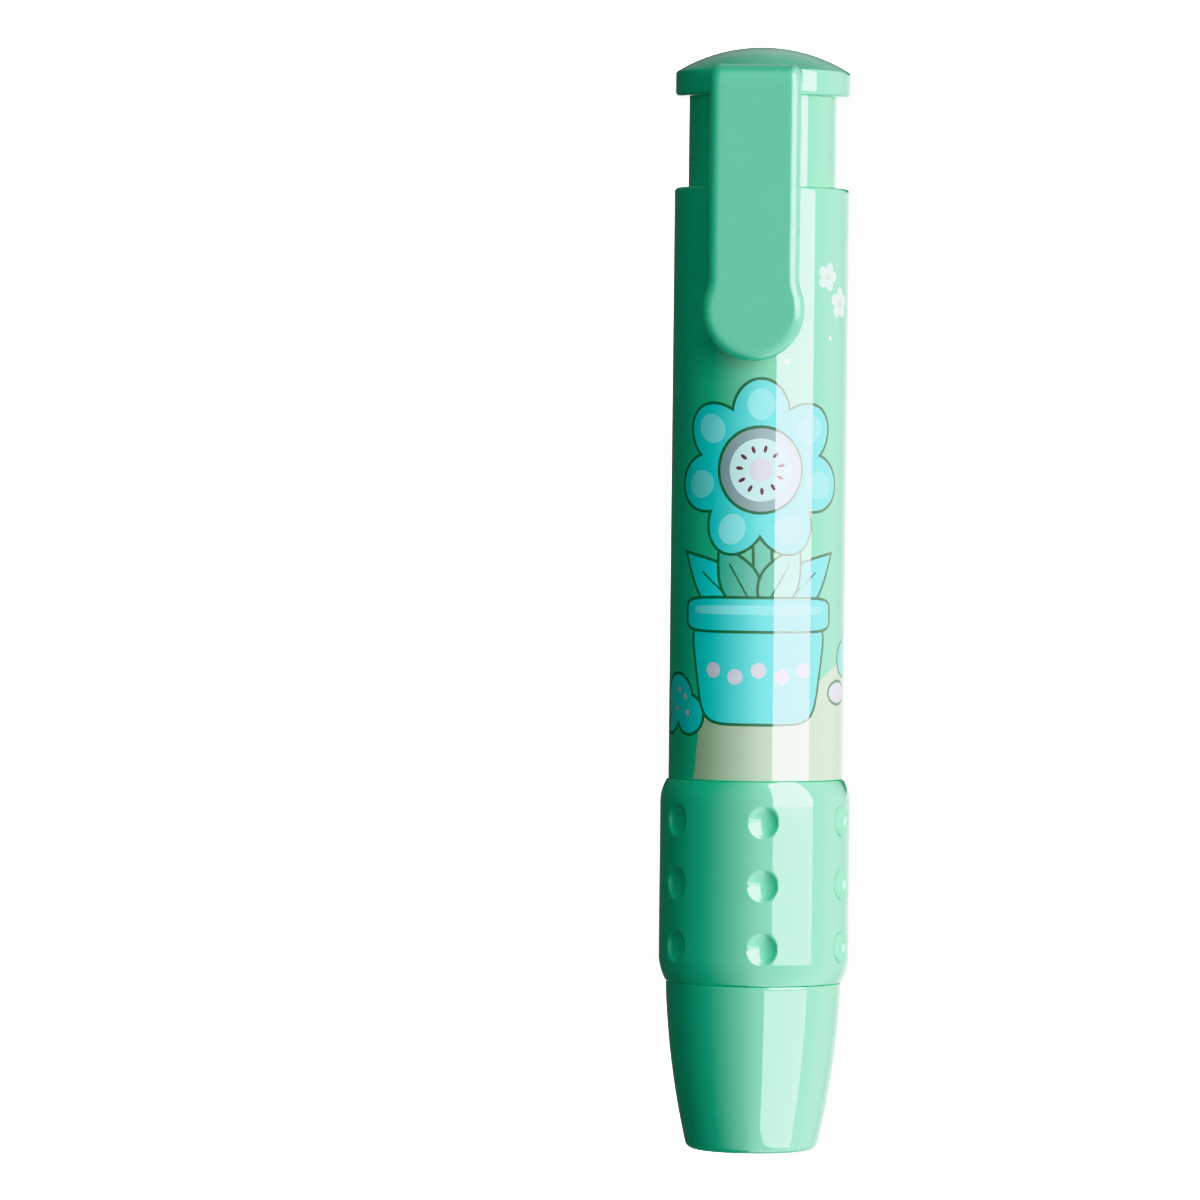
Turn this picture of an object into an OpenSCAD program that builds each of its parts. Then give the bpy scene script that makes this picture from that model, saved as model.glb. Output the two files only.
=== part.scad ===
// Push-button eraser holder, loaded with one round eraser stick. All sizes are in millimetres.
// The axis is +Z, the origin is the centre of the nose's mouth, and the pocket clip faces -Y.
// A click of the cap slides the stem, the feed tube and the collet towards the mouth.
// The collet closes on the stick when the spring pulls it up into the clutch ring.

/* [Overall] */
// Length from the mouth of the nose to the top of the cap
total_len = 120; // [118:0.5:126]
// Diameter of the barrel, and of the cap's rim
barrel_d = 19.1; // [19:0.1:19.6]
// Diameter of the eraser stick
core_d = 10.4; // [10.2:0.1:10.5]
// Length of a new eraser stick
core_len = 86; // [40:1:88]
// How far the stick is drawn back behind the mouth
core_setback = 6; // [5.5:0.5:9]
// How far the cap can be pressed
press_stroke = 8; // [5:0.5:8]

/* [Nose and grip] */
// Bare length of the nose below the grip
nose_len = 18.35; // [18.3:0.05:19]
// Radius of the long curve that draws the nose in towards the mouth
nose_curve_r = 90; // [80:5:120]
// Height at which that curve is at its widest
nose_curve_z = 21.3; // [21:0.1:23]
// Rounding of the nose's outer edge at the mouth
mouth_round = 1; // [0.6:0.1:1]
// Largest diameter of the grip
grip_d = 20.8; // [20.6:0.1:21.4]
// Length of the grip sleeve
grip_len = 22.1; // [22:0.1:23]
// Columns of dimples round the grip
dimple_cols = 6; // [4:1:7]
// Dimples in each column
dimple_rows = 3; // [2:1:3]
// Distance between the dimples of a column
dimple_pitch = 6.85; // [6:0.05:7]
// Depth of a dimple
dimple_depth = 0.8; // [0.4:0.1:0.9]
// Radius of the ball that a dimple is cut with
dimple_ball_r = 2.35; // [2.2:0.05:3]
// Angle from the clip to the nearest column of dimples
grip_turn = 9; // [0:1:30]

/* [Stem and cap] */
// Diameter of the stem that shows between the cap and the barrel
stem_d = 16.1; // [16:0.1:16.3]
// Length of stem that shows at rest
stem_show = 9.8; // [9.6:0.1:11]
// Height of the cap above the stem
cap_h = 5.5; // [5.4:0.1:6]
// Radius of the cap's dome
dome_r = 17.8; // [17:0.1:19]

/* [Clip] */
// Width of the clip's strap
clip_w = 9.8; // [8:0.1:10]
// Thickness of the clip
clip_t = 1.9; // [1.6:0.1:2]
// Clear gap between the strap and the barrel
clip_gap = 1.7; // [1.5:0.1:2]
// Radius of the round end of the clip
clip_end_r = 5.5; // [5.2:0.1:6]
// Length from the centre of the round end up to the top of the cap
clip_reach = 28.7; // [24:0.1:34]
// Rounding of the clip's front edge
clip_edge_r = 1.2; // [0.4:0.1:1.2]

/* [Return spring] */
// Diameter of the spring wire
wire_d = 0.8; // [0.6:0.1:0.8]
// Turns of wire, with a closed turn at each end
spring_turns = 9; // [6:1:12]

/* [Hidden] */

MINT = [0.37, 0.78, 0.61];
PALE_MINT = [0.72, 0.9, 0.82];
NATURAL = [0.93, 0.93, 0.9];
SOFT_GREY = [0.75, 0.78, 0.77];
STEEL = [0.7, 0.71, 0.73];

// Fits and overlaps
slip = 0.05;
slide_gap = 0.1;
over = 0.5;

// Radii, from the stick outwards
core_r = core_d / 2;
tube_bore_r = core_r + 0.2;
feed_r = tube_bore_r + 1.1;
mouth_r = core_r + 0.25;
coupler_bore_r = feed_r + slide_gap;
stem_r = stem_d / 2;
stem_bore_r = stem_r - 1.2;
neck_r = stem_r + slip;
barrel_r = barrel_d / 2;
barrel_bore_r = barrel_r - 0.95;
spigot_r = barrel_r - 0.48;
ring_chamber_r = spigot_r - 1.3;
jaw_chamber_r = ring_chamber_r - 0.42;
grip_bore_r = spigot_r + 0.03;
grip_r = grip_d / 2;

// Heights inside the nose
mouth_len = 5.2;
seal_h = 2.4;
jaw_chamber_z = 8.5;
jaw_z = jaw_chamber_z + 0.7 + press_stroke;
ring_stop_z = jaw_z + 0.5;
ring_travel = 0.4 * press_stroke;
ring_z = ring_stop_z + ring_travel + slide_gap;
ring_h = 2.95;
coupler_z = ring_z + ring_h + slip;
collet_shoulder_z = jaw_z + 13.8;
collet_top_z = collet_shoulder_z + 5;

// Heights of the joins along the outside
grip_top_z = nose_len + grip_len;
spigot_top_z = grip_top_z - 2.1;
coupler_top_z = grip_top_z + 11.5;
cap_z = total_len - cap_h;
barrel_top_z = cap_z - stem_show;
neck_z = barrel_top_z - 6.7;
catch_z = neck_z - 2.7;
stem_z = barrel_top_z - 18.7;
feed_flange_z = stem_z - 1.4;
feed_top_z = stem_z + 8;
plug_z = cap_z - 7;

// Grip sleeve
shoulder_r = 4.54;
grip_foot_r = barrel_r + 0.1;
grip_foot_top = [grip_r, nose_len + 2.55];
grip_foot_curve_r = 7;
dimple_z = nose_len + 4.1;

// Key that stops the stem turning in the barrel
key_w = 2;
key_in_r = stem_r - 0.4;
keyway_in_r = stem_r - 0.55;

// Clip: a plate that runs out of the cap, bends down and ends in a round
tongue_z = total_len - 3.25;
tongue_in_y = 6.3;
bend_r = 1.25;
strap_y = barrel_r + clip_gap + clip_t / 2;
bend_y = strap_y - bend_r;
bend_s = bend_y - tongue_in_y;
strap_s = bend_s + bend_r * PI / 2;
bend_z = tongue_z - bend_r;
end_s = strap_s + bend_z - (total_len - clip_reach);
neck_curve_r = 4;
neck_drop = sqrt(pow(clip_end_r + neck_curve_r, 2) - pow(clip_w / 2 + neck_curve_r, 2));
neck_turn = asin(neck_drop / (clip_end_r + neck_curve_r));
back_round = 0.3;
nub_r = 1.5;

// Smoothness of round surfaces
$fn = 128;
long_curve_fn = 720;

// Profiles and small helpers

function unit(v) = v / norm(v);
// Centre of the arc of radius r that runs from a up to b, bulging away from the axis
function arc_centre(a, b, r) =
    let (chord = b - a, half = norm(chord) / 2, aside = [-chord.y, chord.x] / norm(chord))
    (a + b) / 2 + sqrt(r * r - half * half) * aside;

// What lies outside a rounded edge, between the two directions in which its arc ends
module edge_waste(centre, r, a, b) {
    translate(centre) difference() {
        polygon([[0, 0], 2 * r * a, 2 * r * (a + b), 2 * r * b]);
        circle(r);
    }
}

// The same for a square corner, with the solid lying the way that inward says
module corner_waste(corner, r, inward) {
    edge_waste(corner + r * inward, r, [-inward.x, 0], [0, -inward.y]);
}

// Rectangle between two radii and two heights, to be revolved
module band(r_in, r_out, z_low, z_high) {
    translate([r_in, z_low]) square([r_out - r_in, z_high - z_low]);
}

// Bar on the clip's side of the axis, between two distances from it
module key_bar(width, r_in, r_out, z_low, z_high) {
    translate([-width / 2, -r_out, z_low]) cube([width, r_out - r_in, z_high - z_low]);
}

// Nose, grip and what they hold

// Outer curve of the nose, one long arc that is level with the grip's foot at the top
nose_curve_x = barrel_r + 0.05
    - sqrt(pow(nose_curve_r, 2) - pow(nose_curve_z - nose_len, 2));
mouth_edge = [nose_curve_x
    + sqrt(pow(nose_curve_r - mouth_round, 2) - pow(nose_curve_z - mouth_round, 2)), mouth_round];

module nose_cone() {
    color(MINT) rotate_extrude() difference() {
        union() {
            intersection() {
                translate([nose_curve_x, nose_curve_z]) circle(nose_curve_r, $fn = long_curve_fn);
                band(0, barrel_r + 1, 0, nose_len);
            }
            band(0, spigot_r, nose_len - 3, spigot_top_z);
        }
        band(-over, mouth_r, -over, spigot_top_z);
        band(-over, mouth_r + 0.95, mouth_len, spigot_top_z);
        band(-over, jaw_chamber_r, jaw_chamber_z, spigot_top_z);
        band(-over, ring_chamber_r, ring_stop_z, spigot_top_z + over);
        edge_waste(mouth_edge, mouth_round, [0, -1],
            unit(mouth_edge - [nose_curve_x, nose_curve_z]));
    }
}

// Soft ring that drags lightly on the stick and keeps crumbs out of the jaws
module mouth_seal() {
    seal_in_r = core_r + slip;
    seal_out_r = mouth_r + 0.95 - slip / 2;
    seal_top = mouth_len + seal_h;
    color(SOFT_GREY) rotate_extrude() difference() {
        band(seal_in_r, seal_out_r, mouth_len, seal_top);
        corner_waste([seal_in_r, mouth_len], 0.4, [1, 1]);
        corner_waste([seal_in_r, seal_top], 0.4, [1, -1]);
    }
}

module dimple(column, row) {
    rotate([0, 0, -90 + grip_turn + column * 360 / dimple_cols])
        translate([grip_r + dimple_ball_r - dimple_depth, 0, dimple_z + row * dimple_pitch])
            sphere(dimple_ball_r, $fn = 64);
}

module grip_sleeve() {
    foot = [grip_foot_r, nose_len];
    foot_centre = arc_centre(foot, grip_foot_top, grip_foot_curve_r);
    shoulder_z = grip_top_z - sqrt(pow(shoulder_r, 2) - pow(shoulder_r - (grip_r - foot.x), 2));
    color(MINT) difference() {
        rotate_extrude() difference() {
            band(grip_bore_r, grip_r, nose_len, grip_top_z);
            edge_waste([grip_r - shoulder_r, shoulder_z], shoulder_r, [1, 0], [0, 1]);
            edge_waste(foot_centre, grip_foot_curve_r,
                unit(grip_foot_top - foot_centre), unit(foot - foot_centre));
        }
        for (column = [0 : dimple_cols - 1], row = [0 : dimple_rows - 1]) dimple(column, row);
    }
}

// Screwed into the nose below and the barrel above, it clamps the grip and carries the spring
module coupler() {
    color(NATURAL) rotate_extrude() difference() {
        union() {
            band(coupler_bore_r, ring_chamber_r - slip, coupler_z, grip_top_z);
            band(coupler_bore_r, spigot_r, spigot_top_z, grip_top_z);
            band(coupler_bore_r, barrel_bore_r - slip / 2, spigot_top_z, coupler_top_z);
        }
        corner_waste([barrel_bore_r - slip / 2, coupler_top_z], 0.5, [-1, -1]);
    }
}

// Collet, its ring and the tube that moves it

// Outer radius of the jaws' cone at a height, which the clutch ring fits
cone_low = [feed_r + 0.5, jaw_z + 1.4];
cone_high = [feed_r - 0.3, jaw_z + 7.3];
function cone_r(z) = cone_low.x + (cone_high.x - cone_low.x) * (z - cone_low.y) / (cone_high.y - cone_low.y);

module collet() {
    jaw_bore_r = core_r + 0.04;
    neck_top_z = collet_shoulder_z - 2;
    tail_r = tube_bore_r + 0.5;
    teeth = 4;
    tooth_pitch = 0.8;
    slit_w = 0.8;
    color(NATURAL) difference() {
        rotate_extrude() difference() {
            polygon([[jaw_bore_r, jaw_z], [feed_r, jaw_z], cone_low, cone_high,
                [cone_high.x, neck_top_z], [feed_r, neck_top_z + 0.3], [feed_r, collet_shoulder_z],
                [tail_r, collet_shoulder_z], [tail_r, collet_top_z], [tube_bore_r, collet_top_z],
                [tube_bore_r, jaw_z + 4.2], [jaw_bore_r, jaw_z + 4]]);
            for (i = [0 : teeth - 1])
                translate([jaw_bore_r, jaw_z + 0.8 + i * tooth_pitch])
                    polygon([[-0.1, -0.2], [0.15, 0], [-0.1, 0.2]]);
        }
        for (turn = [0, 90]) rotate([0, 0, turn + 45])
            translate([-slit_w / 2, -barrel_r, jaw_z - over]) cube([slit_w, 2 * barrel_r, 10.5 + over]);
    }
}

module clutch_ring() {
    ring_r = ring_chamber_r - 0.17;
    ring_top = ring_z + ring_h;
    chamfer = 0.3;
    color(STEEL) rotate_extrude() polygon([[cone_r(ring_z) + slip, ring_z],
        [ring_r - chamfer, ring_z], [ring_r, ring_z + chamfer], [ring_r, ring_top - chamfer],
        [ring_r - chamfer, ring_top], [cone_r(ring_top) + slip, ring_top]]);
}

module feed_tube() {
    socket_r = tube_bore_r + 0.52;
    collar_r = stem_bore_r - 0.02;
    color(NATURAL) rotate_extrude() difference() {
        union() {
            band(tube_bore_r, feed_r, collet_shoulder_z, feed_top_z);
            band(tube_bore_r, stem_r - slip, feed_flange_z, stem_z);
            band(tube_bore_r, collar_r, stem_z - over, feed_top_z);
        }
        band(0, socket_r, collet_shoulder_z - over, collet_top_z + slide_gap);
        corner_waste([collar_r, feed_top_z], 0.3, [-1, -1]);
    }
}

// Return spring, one wire swept along a helix

spring_low = coupler_top_z;
spring_high = feed_flange_z;
spring_r = (feed_r + barrel_bore_r) / 2 - 0.25;
rings_per_turn = 16;
wire_sides = 6;
spring_rings = spring_turns * rings_per_turn;
end_rise = wire_d * 1.05;

// Height of the wire's middle after a number of turns: the end turns lie closed
function wire_z(turn) =
    let (open_rise = (spring_high - spring_low - wire_d - 2 * end_rise) / (spring_turns - 2))
    spring_low + wire_d / 2 + (turn < 1 ? end_rise * turn
        : turn > spring_turns - 1 ? end_rise + open_rise * (spring_turns - 2)
            + end_rise * (turn - spring_turns + 1)
        : end_rise + open_rise * (turn - 1));

function wire_point(ring, side) =
    let (turn = ring / rings_per_turn, a = 360 * side / wire_sides,
        r = spring_r + wire_d / 2 * cos(a))
    [r * cos(360 * turn), r * sin(360 * turn), wire_z(turn) + wire_d / 2 * sin(a)];

module return_spring() {
    points = [for (ring = [0 : spring_rings], side = [0 : wire_sides - 1]) wire_point(ring, side)];
    last = spring_rings * wire_sides;
    walls = [for (ring = [0 : spring_rings - 1], side = [0 : wire_sides - 1])
        let (a = ring * wire_sides + side, b = ring * wire_sides + (side + 1) % wire_sides)
        each [[a, b, a + wire_sides], [b, b + wire_sides, a + wire_sides]]];
    start = [for (side = [wire_sides - 1 : -1 : 0]) side];
    end = [for (side = [0 : wire_sides - 1]) last + side];
    color(STEEL) polyhedron(points, concat(walls, [start, end]), convexity = 10);
}

// Barrel, stem and cap

module barrel() {
    color(MINT) {
        rotate_extrude() difference() {
            band(0, barrel_r, grip_top_z, barrel_top_z);
            band(-over, barrel_bore_r, grip_top_z - over, neck_z);
            band(-over, neck_r, neck_z - over, barrel_top_z + over);
            corner_waste([barrel_r, barrel_top_z], 0.5, [-1, -1]);
            corner_waste([neck_r, barrel_top_z], 0.25, [1, -1]);
        }
        key_bar(key_w, key_in_r, barrel_bore_r, neck_z, barrel_top_z - 1);
    }
}

module knock_tube() {
    color(MINT) difference() {
        rotate_extrude() union() {
            band(stem_bore_r, stem_r, stem_z, cap_z);
            band(stem_bore_r, barrel_bore_r - slide_gap, catch_z, neck_z - slide_gap);
        }
        key_bar(key_w + 0.2, keyway_in_r, barrel_r, neck_z - slide_gap, cap_z - 1.3);
    }
}

module push_cap() {
    plug_r = stem_bore_r - 0.02;
    plug_bore_r = plug_r - 1.2;
    rim_round = 0.5;
    foot_round = 0.55;
    dome_centre = [0, total_len - dome_r];
    rim_edge_r = barrel_r - rim_round;
    rim_edge = [rim_edge_r, dome_centre.y + sqrt(pow(dome_r - rim_round, 2) - pow(rim_edge_r, 2))];
    color(MINT) difference() {
        rotate_extrude() difference() {
            union() {
                intersection() {
                    translate(dome_centre) circle(dome_r, $fn = 360);
                    band(0, barrel_r, cap_z, total_len + 1);
                }
                band(plug_bore_r, plug_r, plug_z, cap_z + over);
            }
            band(-over, plug_bore_r, plug_z - over, total_len - 2.4);
            edge_waste(rim_edge, rim_round, [1, 0], unit(rim_edge - dome_centre));
            corner_waste([barrel_r, cap_z], foot_round, [-1, 1]);
            corner_waste([plug_r, plug_z], 0.3, [-1, 1]);
        }
        translate([-clip_w / 2 - 0.03, -strap_y, tongue_z - clip_t / 2 - 0.02])
            cube([clip_w + 0.06, strap_y - tongue_in_y + 0.05, clip_t + 0.04]);
    }
}

// Pocket clip

// Place of a point of the plate: across, along from the inner end of the tongue, and out from mid-plate
function plate_point(x, s, out) =
    s < bend_s ? [x, -tongue_in_y - s, tongue_z + out]
    : s < strap_s ? let (a = (s - bend_s) / bend_r * 180 / PI)
        [x, -bend_y - (bend_r + out) * sin(a), bend_z + (bend_r + out) * cos(a)]
    : [x, -strap_y - out, bend_z - (s - strap_s)];

// Right half of the plate's outline, as across, along, and the outward normal
bend_steps = 6;
neck_steps = 4;
round_steps = 12;
half_outline = concat(
    [[clip_w / 2, 0, 1, 0]],
    [for (i = [0 : bend_steps]) [clip_w / 2, bend_s + (strap_s - bend_s) * i / bend_steps, 1, 0]],
    [for (i = [0 : neck_steps]) let (a = 180 - neck_turn * i / neck_steps)
        [clip_w / 2 + neck_curve_r + neck_curve_r * cos(a),
            end_s - neck_drop + neck_curve_r * sin(a), -cos(a), -sin(a)]],
    [for (i = [1 : round_steps]) let (a = -neck_turn + (90 + neck_turn) * i / round_steps)
        [clip_end_r * cos(a), end_s + clip_end_r * sin(a), cos(a), sin(a)]]);
half_count = len(half_outline);
outline = concat(half_outline,
    [for (i = [half_count - 2 : -1 : 0]) let (p = half_outline[i]) [-p[0], p[1], -p[2], p[3]]]);

// Rows of points round the plate's edge, as inset and out from mid-plate, from the back to the front
edge_steps = 5;
edge_rows = concat(
    [[back_round, -clip_t / 2], [0, -clip_t / 2 + back_round]],
    [for (k = [0 : edge_steps]) let (a = 90 * k / edge_steps)
        [clip_edge_r * (1 - cos(a)), clip_t / 2 - clip_edge_r * (1 - sin(a))]]);

module clip_plate() {
    rows = len(edge_rows);
    count = len(outline);
    points = [for (p = outline, e = edge_rows)
        plate_point(p[0] - e[0] * p[2], max(0, p[1] - e[0] * p[3]), e[1])];
    edge = [for (i = [0 : count - 2], j = [0 : rows - 2])
        let (a = i * rows + j, b = a + rows) each [[a, b, a + 1], [b, b + 1, a + 1]]];
    faces = [for (i = [0 : half_count - 2], j = [0, rows - 1])
        let (a = i * rows + j, b = a + rows, c = (count - 2 - i) * rows + j, d = c + rows,
            quad = i < half_count - 2 ? [[a, b, c], [a, c, d]] : [[a, b, d]])
        each j == 0 ? [for (t = quad) [t[2], t[1], t[0]]] : quad];
    tongue_end = concat([for (j = [0 : rows - 1]) j],
        [for (j = [rows - 1 : -1 : 0]) (count - 1) * rows + j]);
    polyhedron(points, concat(edge, faces, [tongue_end]), convexity = 6);
}

// Web that fills the angle between the strap and the cap's rim
module clip_web() {
    web_top = tongue_z - clip_t / 2 + 0.05;
    web_low = cap_z + 0.2;
    fillet = 1.5;
    back_y = -strap_y + clip_t / 2 - 0.05;
    difference() {
        rotate([90, 0, 90]) linear_extrude(clip_w - 1.2, center = true) difference() {
            union() {
                translate([back_y, web_low]) square([3, web_top - web_low]);
                translate([back_y, web_low - fillet]) square([fillet, fillet + 0.1]);
            }
            translate([back_y + fillet, web_low - fillet]) circle(fillet, $fn = 48);
        }
        cylinder(r = barrel_r + slip, h = total_len);
    }
}

module clip() {
    color(MINT) union() {
        clip_plate();
        clip_web();
        translate([0, -strap_y + clip_t / 2 - 0.25, total_len - clip_reach]) sphere(nub_r, $fn = 40);
    }
}

module eraser_core() {
    low = core_setback;
    high = core_setback + core_len;
    color(PALE_MINT) rotate_extrude() difference() {
        band(0, core_r, low, high);
        corner_waste([core_r, low], 0.35, [-1, 1]);
        corner_waste([core_r, high], 0.35, [-1, -1]);
    }
}

nose_cone();
mouth_seal();
grip_sleeve();
coupler();
clutch_ring();
collet();
feed_tube();
return_spring();
barrel();
knock_tube();
push_cap();
clip();
eraser_core();
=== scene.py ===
from functools import partial
from math import asin, atan, atan2, copysign, cos, degrees, exp, hypot, pi, radians, sin, sqrt, tan
import bpy
import bmesh
from mathutils import Matrix, Quaternion, Vector, geometry


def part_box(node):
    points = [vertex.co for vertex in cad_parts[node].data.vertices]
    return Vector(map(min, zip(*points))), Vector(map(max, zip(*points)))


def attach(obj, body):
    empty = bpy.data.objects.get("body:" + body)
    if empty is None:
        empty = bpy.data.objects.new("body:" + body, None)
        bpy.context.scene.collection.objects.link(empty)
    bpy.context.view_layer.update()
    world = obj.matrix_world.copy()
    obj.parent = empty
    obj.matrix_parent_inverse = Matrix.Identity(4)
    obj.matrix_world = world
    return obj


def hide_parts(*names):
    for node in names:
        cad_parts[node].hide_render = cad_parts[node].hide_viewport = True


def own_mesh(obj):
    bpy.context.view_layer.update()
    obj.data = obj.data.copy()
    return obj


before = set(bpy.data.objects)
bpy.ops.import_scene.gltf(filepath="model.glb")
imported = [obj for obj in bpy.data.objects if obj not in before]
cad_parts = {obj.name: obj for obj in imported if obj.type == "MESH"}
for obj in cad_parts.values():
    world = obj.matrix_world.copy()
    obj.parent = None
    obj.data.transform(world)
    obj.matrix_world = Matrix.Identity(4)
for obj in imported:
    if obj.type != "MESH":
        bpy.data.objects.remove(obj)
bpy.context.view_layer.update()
mm = 0.001


def span(node):
    # lowest and highest corner of a CAD node, in millimetres
    low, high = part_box(node)
    return low / mm, high / mm


def srgb(red, green, blue):
    # a colour picked on screen, 0 to 255, as linear light
    values = [c / 255 for c in (red, green, blue)]
    return tuple(c / 12.92 if c <= 0.04045 else ((c + 0.055) / 1.055) ** 2.4 for c in values) + (1.0,)


def unit(x, y):
    size = hypot(x, y)
    return x / size, y / size


# Materials. Patterns read Object coordinates, which are metres in the holder's own frame

# Roughness is given as: from this noise to this, the lowest and the highest

gloss = {
    "mint": srgb(60, 187, 145),
    "drift": (0.035, 90.0),  # how far the colour drifts, and the scale of the drift
    "smears": (260.0, 4.0, (1, 1, 0.35)),
    "roughness": (0.3, 0.7, 0.03375, 0.06075),
    "shine": 0.5,
    "darkInkShine": 0.25,
    "ripple": (420.0, 1.0),
    "rippleHeight": 0.0012 * mm,
    "partingWidth": 0.05 * mm,
    "partingRise": 6.0,  # against the height of the ripple
}

mouldings = {
    "mintSatin": {
        # paler and greyer than the gloss mint: partly the satin moulding's own tone, partly painted sheen
        # that stands in for the reflection the low Specular IOR Level leaves out
        "colour": srgb(86, 191, 159),
        "drift": (0.03, 140.0),
        "grain": 5200.0,
        "roughness": (0.25, 0.75, 0.18, 0.23),
        "height": 0.006 * mm,
        "inputs": {
            "Specular IOR Level": 0.35,
            "Subsurface Weight": 0.85,
            "Subsurface Radius": (0.5, 1.0, 0.8),
            "Subsurface Scale": 1.6 * mm,
        },
    },
    "naturalWhite": {
        "colour": srgb(226, 228, 219),
        "drift": (0.04, 200.0),
        "grain": 2400.0,
        "roughness": (0.2, 0.8, 0.3, 0.42),
        "height": 0.003 * mm,
        "inputs": {"Subsurface Weight": 0.2, "Subsurface Scale": 0.8 * mm},
    },
    "sealElastomer": {
        "colour": srgb(188, 196, 193),
        "drift": (0.05, 400.0),
        "grain": 4000.0,
        "roughness": (0.2, 0.8, 0.55, 0.7),
        "height": 0.006 * mm,
        "inputs": {},
    },
}

eraserLook = {
    "body": srgb(170, 222, 202),
    "pale": srgb(200, 236, 222),
    "speck": srgb(96, 160, 134),
    "specks": (0.68, 0.76, 0.0, 0.55),
    "speckSize": 2600.0,
    "drag": (700.0, 3.0, (1, 1, 0.03)),
    "paleStreaks": (0.3, 0.7, 0.0, 1.0),
    "roughness": (0.2, 0.8, 0.7912, 0.86),
    "pores": (3200.0, 4.0),
    "poreDepth": 0.012 * mm,
}

steelLook = {
    "dark": srgb(176, 178, 182),
    "light": srgb(214, 215, 218),
    "scratches": (5200.0, 2.0, (0.15, 0.15, 1)),
    "roughness": (0.25, 0.75, 0.2, 0.38),
    "depth": 0.004 * mm,
}

inks = {
    "turquoise": srgb(42, 209, 208),
    "aqua": srgb(126, 228, 226),
    "leafGreen": srgb(50, 178, 150),
    "lineGreen": srgb(8, 104, 58),
    "lilac": srgb(206, 205, 217),
    "slate": srgb(122, 152, 156),
    "frost": srgb(196, 232, 230),
    "plum": srgb(92, 40, 48),
    "meadow": srgb(169, 191, 160),
    "white": srgb(222, 246, 238),
}


def newMaterial(name):
    material = bpy.data.materials.new(name)
    material.use_nodes = True
    return material, material.node_tree, material.node_tree.nodes["Principled BSDF"]


def fill(tree, node, inputs):
    # sets a node's inputs, by name or number, to values or to the outputs of other nodes
    for name, value in inputs.items():
        if isinstance(value, bpy.types.NodeSocket):
            tree.links.new(value, node.inputs[name])
        else:
            node.inputs[name].default_value = value
    return node


def addNode(tree, kind, inputs=None, **settings):
    node = tree.nodes.new(kind)
    for name, value in settings.items():
        setattr(node, name, value)
    return fill(tree, node, inputs or {})


def addMath(tree, operation, *values):
    return addNode(tree, "ShaderNodeMath", dict(enumerate(values)), operation=operation).outputs[0]


def splitUp(tree, vector):
    # the three parts of a place
    return addNode(tree, "ShaderNodeSeparateXYZ", {0: vector}).outputs


def noise(tree, scale, detail=2.0, stretch=(1, 1, 1)):
    # noise over the piece, with its grain given per metre
    place = addNode(tree, "ShaderNodeTexCoord").outputs["Object"]
    place = addNode(tree, "ShaderNodeMapping", {"Vector": place, "Scale": stretch}).outputs[0]
    inputs = {"Vector": place, "Scale": scale, "Detail": detail}
    return addNode(tree, "ShaderNodeTexNoise", inputs).outputs["Fac"]


def mapRange(tree, *values):
    # value, from low, from high, to low, to high
    return addNode(tree, "ShaderNodeMapRange", dict(enumerate(values))).outputs["Result"]


def mixColour(tree, factor, first, second):
    inputs = {"Factor": factor, 6: first, 7: second}
    return addNode(tree, "ShaderNodeMix", inputs, data_type="RGBA").outputs[2]


def addBump(tree, shader, height, distance):
    node = addNode(tree, "ShaderNodeBump", {"Distance": distance, "Height": height})
    fill(tree, shader, {"Normal": node.outputs[0]})


def tinted(tree, colour, depth, scale):
    # the slow, cloudy drift of colour that moulded plastic has
    ends = [tuple(min(1.0, c * share) for c in colour[:3]) + (1.0,) for share in (1 - depth, 1 + depth)]
    return mixColour(tree, noise(tree, scale, 3.0), *ends)


def partingRidge(tree):
    # 1 on the two lines where the halves of the mould met, at the left and right of the clip
    place = splitUp(tree, addNode(tree, "ShaderNodeTexCoord").outputs["Object"])
    away = addMath(tree, "ABSOLUTE", place["Y"])
    return mapRange(tree, away, 0.0, gloss["partingWidth"], 1.0, 0.0)


def glossyPlastic(name, colour, parting=True, shine=gloss["shine"]):
    material, tree, shader = newMaterial(name)
    fill(tree, shader, {
        "Base Color": tinted(tree, colour, *gloss["drift"]),
        "Roughness": mapRange(tree, noise(tree, *gloss["smears"]), *gloss["roughness"]),
        "IOR": 1.5,
        "Specular IOR Level": shine,
    })
    height = noise(tree, *gloss["ripple"])
    if parting:
        height = addMath(tree, "MULTIPLY_ADD", partingRidge(tree), gloss["partingRise"], height)
    addBump(tree, shader, height, gloss["rippleHeight"])
    return material


def moulding(name):
    # plastic and elastomer with a fine, even grain
    material, tree, shader = newMaterial(name)
    look = mouldings[name]
    grain = noise(tree, look["grain"])
    fill(tree, shader, {
        "Base Color": tinted(tree, look["colour"], *look["drift"]),
        "Roughness": mapRange(tree, grain, *look["roughness"]),
        **look["inputs"],
    })
    addBump(tree, shader, grain, look["height"])
    return material


def eraserMaterial():
    # matte vinyl: a fine speckle, soft shadows and drag marks from the extruder
    material, tree, shader = newMaterial("eraserVinyl")
    look = eraserLook
    drag = noise(tree, *look["drag"])
    colour = mixColour(tree, mapRange(tree, drag, *look["paleStreaks"]), look["body"], look["pale"])
    specks = mapRange(tree, noise(tree, look["speckSize"], 1.0), *look["specks"])
    fill(tree, shader, {
        "Base Color": mixColour(tree, specks, colour, look["speck"]),
        "Roughness": mapRange(tree, drag, *look["roughness"]),
        "Subsurface Weight": 0.25,
        "Subsurface Scale": 0.6 * mm,
    })
    addBump(tree, shader, noise(tree, *look["pores"]), look["poreDepth"])
    return material


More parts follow.
